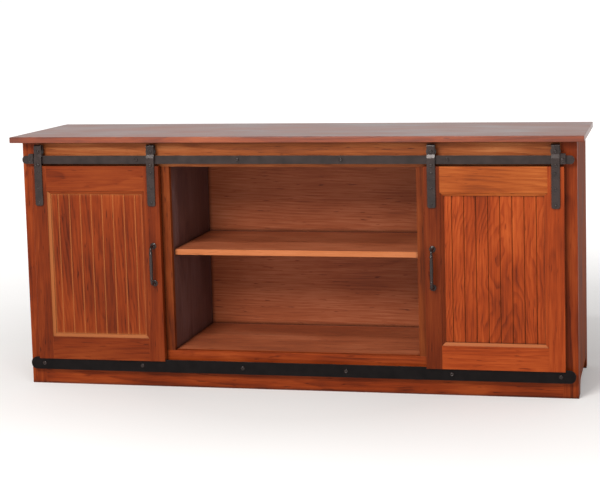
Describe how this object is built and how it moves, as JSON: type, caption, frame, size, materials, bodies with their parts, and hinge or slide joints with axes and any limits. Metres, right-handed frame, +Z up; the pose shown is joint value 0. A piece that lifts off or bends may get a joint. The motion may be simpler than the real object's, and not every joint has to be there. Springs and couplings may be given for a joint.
{
  "type": "tv stand with doors",
  "caption": "Wooden television stand with an open shelved middle bay and sliding beadboard doors hung from a steel track.",
  "frame": {"origin": "on the floor, at the middle of the whole footprint, handles included", "axes": "+X to the right along the front, +Y to the back, +Z up"},
  "size_m": [1.829, 0.4851, 0.813],
  "materials": {
    "case_wood": "stained, satin varnish",
    "top_wood": "stained, gloss varnish",
    "door_wood": "stained, satin varnish",
    "back_wood": "stained, satin varnish",
    "black_metal": "black, satin",
    "wheel_steel": "black, satin",
    "zinc_steel": "zinc plated"
  },
  "bodies": {
    "cabinet": {"top_board": "top_wood", "left_side_panel": "case_wood", "right_side_panel": "case_wood", "left_partition": "case_wood", "right_partition": "case_wood", "bottom_panel": "case_wood", "back_panel": "back_wood", "back_rail_top": "case_wood", "back_rail_bottom": "case_wood", "left_outer_stile": "case_wood", "right_outer_stile": "case_wood", "left_center_stile": "case_wood", "right_center_stile": "case_wood", "face_top_rail": "case_wood", "face_base_rail": "case_wood", "center_shelf": "case_wood", "left_shelf": "case_wood", "right_shelf": "case_wood", "top_cleats": "case_wood", "track_rail": "black_metal", "track_standoffs": "black_metal", "track_bolts": "black_metal", "left_end_stop": "black_metal", "right_end_stop": "black_metal", "end_stop_bolts": "black_metal", "guide_bar": "black_metal", "guide_standoffs": "black_metal", "guide_bolts": "black_metal", "shelf_pins": "zinc_steel", "cleat_screws": "zinc_steel"},
    "left_door": {"left_door_outer_stile": "door_wood", "left_door_inner_stile": "door_wood", "left_door_top_rail": "door_wood", "left_door_bottom_rail": "door_wood", "left_door_panel": "door_wood", "left_door_outer_strap": "black_metal", "left_door_inner_strap": "black_metal", "left_door_strap_screws": "black_metal", "left_door_lift_pins": "black_metal", "left_door_axles": "black_metal", "left_door_handle": "black_metal", "left_door_rosettes": "black_metal", "left_door_handle_screws": "zinc_steel"},
    "left_outer_wheel": {"left_door_outer_wheel": "wheel_steel"},
    "left_inner_wheel": {"left_door_inner_wheel": "wheel_steel"},
    "right_door": {"right_door_outer_stile": "door_wood", "right_door_inner_stile": "door_wood", "right_door_top_rail": "door_wood", "right_door_bottom_rail": "door_wood", "right_door_panel": "door_wood", "right_door_outer_strap": "black_metal", "right_door_inner_strap": "black_metal", "right_door_strap_screws": "black_metal", "right_door_lift_pins": "black_metal", "right_door_axles": "black_metal", "right_door_handle": "black_metal", "right_door_rosettes": "black_metal", "right_door_handle_screws": "zinc_steel"},
    "right_outer_wheel": {"right_door_outer_wheel": "wheel_steel"},
    "right_inner_wheel": {"right_door_inner_wheel": "wheel_steel"}
  },
  "joints": [
    {"name": "left_door_slide", "type": "slide", "parent": "cabinet", "child": "left_door", "axis": [1, 0, 0], "range_m": [0, 0.42]},
    {"name": "left_outer_wheel_spin", "type": "hinge", "parent": "left_door", "child": "left_outer_wheel", "pos_m": [-0.827, -0.20145, 0.7638], "axis": [0, 1, 0], "continuous": true},
    {"name": "left_inner_wheel_spin", "type": "hinge", "parent": "left_door", "child": "left_inner_wheel", "pos_m": [-0.449, -0.20145, 0.7638], "axis": [0, 1, 0], "continuous": true},
    {"name": "right_door_slide", "type": "slide", "parent": "cabinet", "child": "right_door", "axis": [-1, 0, 0], "range_m": [0, 0.42]},
    {"name": "right_outer_wheel_spin", "type": "hinge", "parent": "right_door", "child": "right_outer_wheel", "pos_m": [0.827, -0.20145, 0.7638], "axis": [0, 1, 0], "continuous": true},
    {"name": "right_inner_wheel_spin", "type": "hinge", "parent": "right_door", "child": "right_inner_wheel", "pos_m": [0.449, -0.20145, 0.7638], "axis": [0, 1, 0], "continuous": true}
  ],
  "couplings": [
    {"joint": "left_outer_wheel_spin", "follows": "left_door_slide", "rad_per_m": 80},
    {"joint": "left_inner_wheel_spin", "follows": "left_door_slide", "rad_per_m": 80},
    {"joint": "right_outer_wheel_spin", "follows": "right_door_slide", "rad_per_m": -80},
    {"joint": "right_inner_wheel_spin", "follows": "right_door_slide", "rad_per_m": -80}
  ]
}
